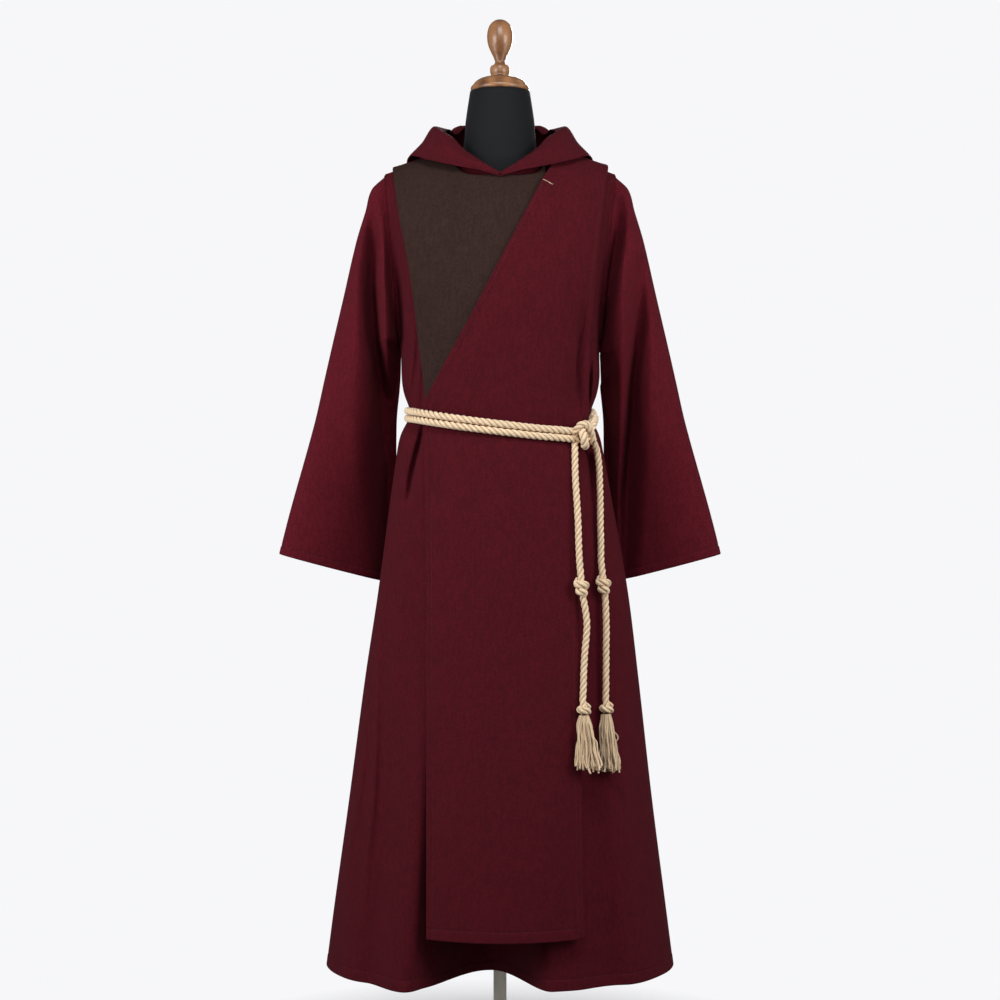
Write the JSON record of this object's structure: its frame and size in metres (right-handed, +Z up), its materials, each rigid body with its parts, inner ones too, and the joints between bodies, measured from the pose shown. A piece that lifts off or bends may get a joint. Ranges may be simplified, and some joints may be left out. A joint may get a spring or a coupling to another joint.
{
  "type": "monk habit on a dress form",
  "caption": "Hooded monk habit with wide sleeves, front and back panels and a knotted rope belt, worn by a limbless dress form on a stand.",
  "frame": {"origin": "on the axis of the stand's pole, at the flat underside of the base where it rests on the floor", "axes": "+Z up along the pole, +X to the wearer's left, +Y to the wearer's back, so the front of the habit faces -Y"},
  "size_m": [0.734, 0.5125, 1.7006],
  "materials": {
    "maroon_wool": "deep maroon brushed wool, matt, with a faint nap",
    "brown_wool": "dark brown plain-woven wool, matt",
    "natural_rope": "natural undyed three-strand cotton rope, soft and slightly hairy",
    "black_jersey": "black knitted jersey stretched over the form",
    "turned_wood": "turned reddish brown wood under satin lacquer",
    "satin_steel": "satin warm grey steel"
  },
  "bodies": {
    "root": {"robe_front": "maroon_wool", "robe_back": "maroon_wool", "sleeve_right": "maroon_wool", "sleeve_left": "maroon_wool", "scapular_front": "maroon_wool", "scapular_back": "maroon_wool", "hood_neckband": "maroon_wool", "hood_right": "maroon_wool", "hood_left": "maroon_wool", "scapular_yoke": "brown_wool", "belt_turn_upper": "natural_rope", "belt_turn_lower": "natural_rope", "belt_knot": "natural_rope", "near_cord_upper": "natural_rope", "near_knot_middle": "natural_rope", "near_cord_lower": "natural_rope", "near_knot_last": "natural_rope", "near_tassel": "natural_rope", "far_cord_upper": "natural_rope", "far_knot_middle": "natural_rope", "far_cord_lower": "natural_rope", "far_knot_last": "natural_rope", "far_tassel": "natural_rope", "form_torso": "black_jersey", "neck_cap": "turned_wood", "finial": "turned_wood", "stand_pole": "satin_steel", "stand_base": "satin_steel"}
  },
  "joints": []
}
